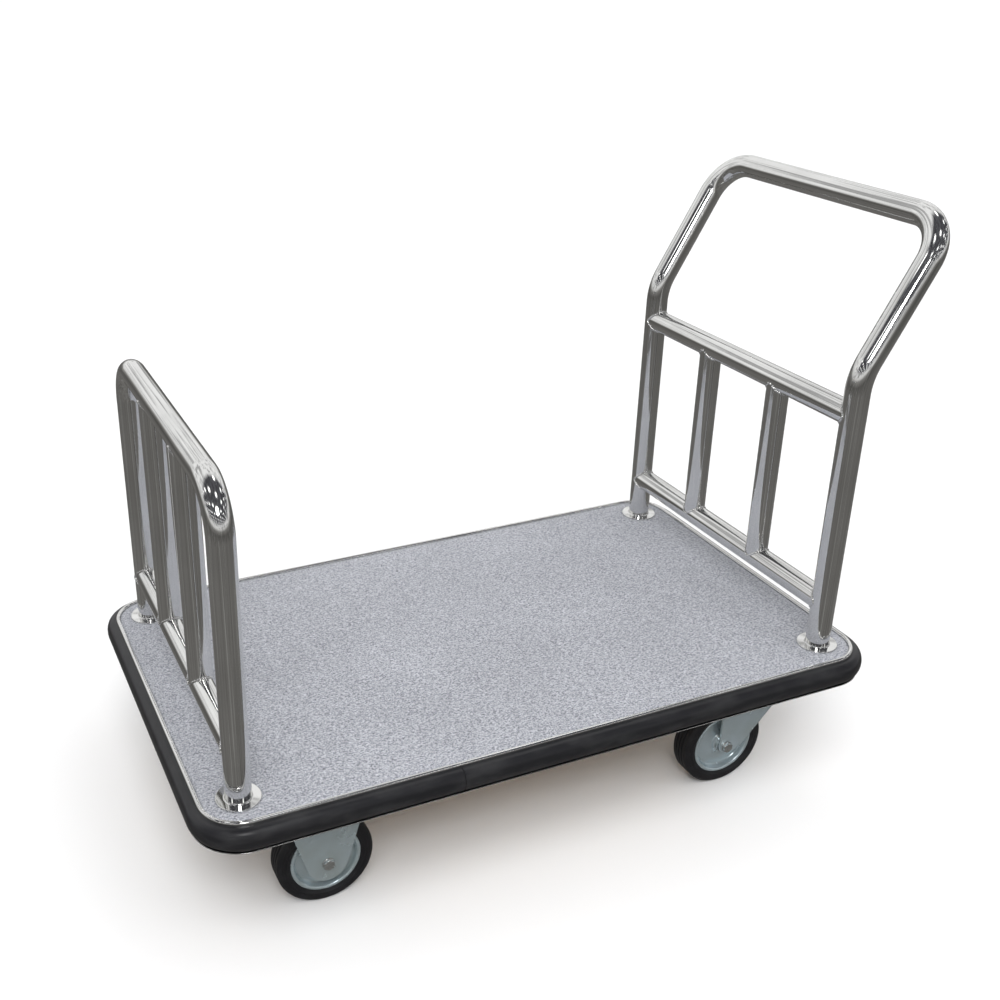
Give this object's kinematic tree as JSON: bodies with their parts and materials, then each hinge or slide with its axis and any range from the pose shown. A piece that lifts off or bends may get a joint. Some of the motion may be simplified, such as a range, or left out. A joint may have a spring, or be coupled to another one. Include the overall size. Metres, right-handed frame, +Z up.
{
  "type": "hotel luggage cart",
  "caption": "Flat-deck luggage cart with a carpeted deck, rubber bumper, tall push handle at one end, low rail at the other, and rigid and swivel casters.",
  "frame": {"origin": "on the floor under the middle of the whole cart, with the handle leaning out past the bumper", "axes": "+X along the deck from the low rail to the push handle, +Y to the right-hand side of the person pushing, +Z up"},
  "size_m": [1.2034, 0.672, 0.941],
  "materials": {
    "plywood": "matt",
    "carpet": "short looped pile",
    "bumper_rubber": "satin",
    "tyre_rubber": "matt",
    "polished_stainless": "mirror polished stainless steel",
    "frame_paint": "satin grey paint",
    "zinc_steel": "bright blue zinc plate",
    "bearing_steel": "ground",
    "fastener_steel": "zinc plated"
  },
  "bodies": {
    "cart": {"deck_board": "plywood", "carpet": "carpet", "edge_band": "polished_stainless", "bumper": "bumper_rubber", "band_rivets": "fastener_steel", "side_rails": "frame_paint", "end_rails": "frame_paint", "middle_rails": "frame_paint", "caster_pads": "frame_paint", "deck_bolts": "fastener_steel", "deck_nuts": "fastener_steel", "post_plugs": "fastener_steel", "post_bolts": "fastener_steel", "post_flanges": "polished_stainless", "handle_tube": "polished_stainless", "handle_upper_crossbar": "polished_stainless", "handle_lower_crossbar": "polished_stainless", "handle_uprights": "polished_stainless", "rail_tube": "polished_stainless", "rail_crossbar": "polished_stainless", "rail_uprights": "polished_stainless", "caster_bolts": "fastener_steel", "caster_nuts": "fastener_steel", "rigid_fork_left": "zinc_steel", "rigid_fork_right": "zinc_steel", "rigid_axle_bolts": "fastener_steel", "rigid_axle_nuts": "fastener_steel", "rigid_sleeves": "fastener_steel", "swivel_plates": "zinc_steel", "kingpins": "fastener_steel", "kingpin_nuts": "fastener_steel"},
    "rigid_wheel_left": {"rigid_tyre_left": "tyre_rubber", "rigid_rim_left": "zinc_steel", "rigid_hub_left": "fastener_steel", "rigid_rollers_left": "bearing_steel"},
    "swivel_fork_left": {"swivel_fork_left": "zinc_steel", "swivel_balls_left": "bearing_steel", "swivel_axle_bolt_left": "fastener_steel", "swivel_axle_nut_left": "fastener_steel", "swivel_sleeve_left": "fastener_steel"},
    "swivel_wheel_left": {"swivel_tyre_left": "tyre_rubber", "swivel_rim_left": "zinc_steel", "swivel_hub_left": "fastener_steel", "swivel_rollers_left": "bearing_steel"},
    "rigid_wheel_right": {"rigid_tyre_right": "tyre_rubber", "rigid_rim_right": "zinc_steel", "rigid_hub_right": "fastener_steel", "rigid_rollers_right": "bearing_steel"},
    "swivel_fork_right": {"swivel_fork_right": "zinc_steel", "swivel_balls_right": "bearing_steel", "swivel_axle_bolt_right": "fastener_steel", "swivel_axle_nut_right": "fastener_steel", "swivel_sleeve_right": "fastener_steel"},
    "swivel_wheel_right": {"swivel_tyre_right": "tyre_rubber", "swivel_rim_right": "zinc_steel", "swivel_hub_right": "fastener_steel", "swivel_rollers_right": "bearing_steel"}
  },
  "joints": [
    {"name": "rigid_wheel_spin_left", "type": "hinge", "parent": "cart", "child": "rigid_wheel_left", "pos_m": [-0.39972, -0.23, 0.075], "axis": [0, 1, 0], "continuous": true},
    {"name": "caster_swivel_left", "type": "hinge", "parent": "cart", "child": "swivel_fork_left", "pos_m": [0.34228, -0.23, 0.18], "axis": [0, 0, 1], "continuous": true},
    {"name": "swivel_wheel_spin_left", "type": "hinge", "parent": "swivel_fork_left", "child": "swivel_wheel_left", "pos_m": [0.30228, -0.23, 0.075], "axis": [0, 1, 0], "continuous": true},
    {"name": "rigid_wheel_spin_right", "type": "hinge", "parent": "cart", "child": "rigid_wheel_right", "pos_m": [-0.39972, 0.23, 0.075], "axis": [0, 1, 0], "continuous": true},
    {"name": "caster_swivel_right", "type": "hinge", "parent": "cart", "child": "swivel_fork_right", "pos_m": [0.34228, 0.23, 0.18], "axis": [0, 0, 1], "continuous": true},
    {"name": "swivel_wheel_spin_right", "type": "hinge", "parent": "swivel_fork_right", "child": "swivel_wheel_right", "pos_m": [0.30228, 0.23, 0.075], "axis": [0, 1, 0], "continuous": true}
  ]
}
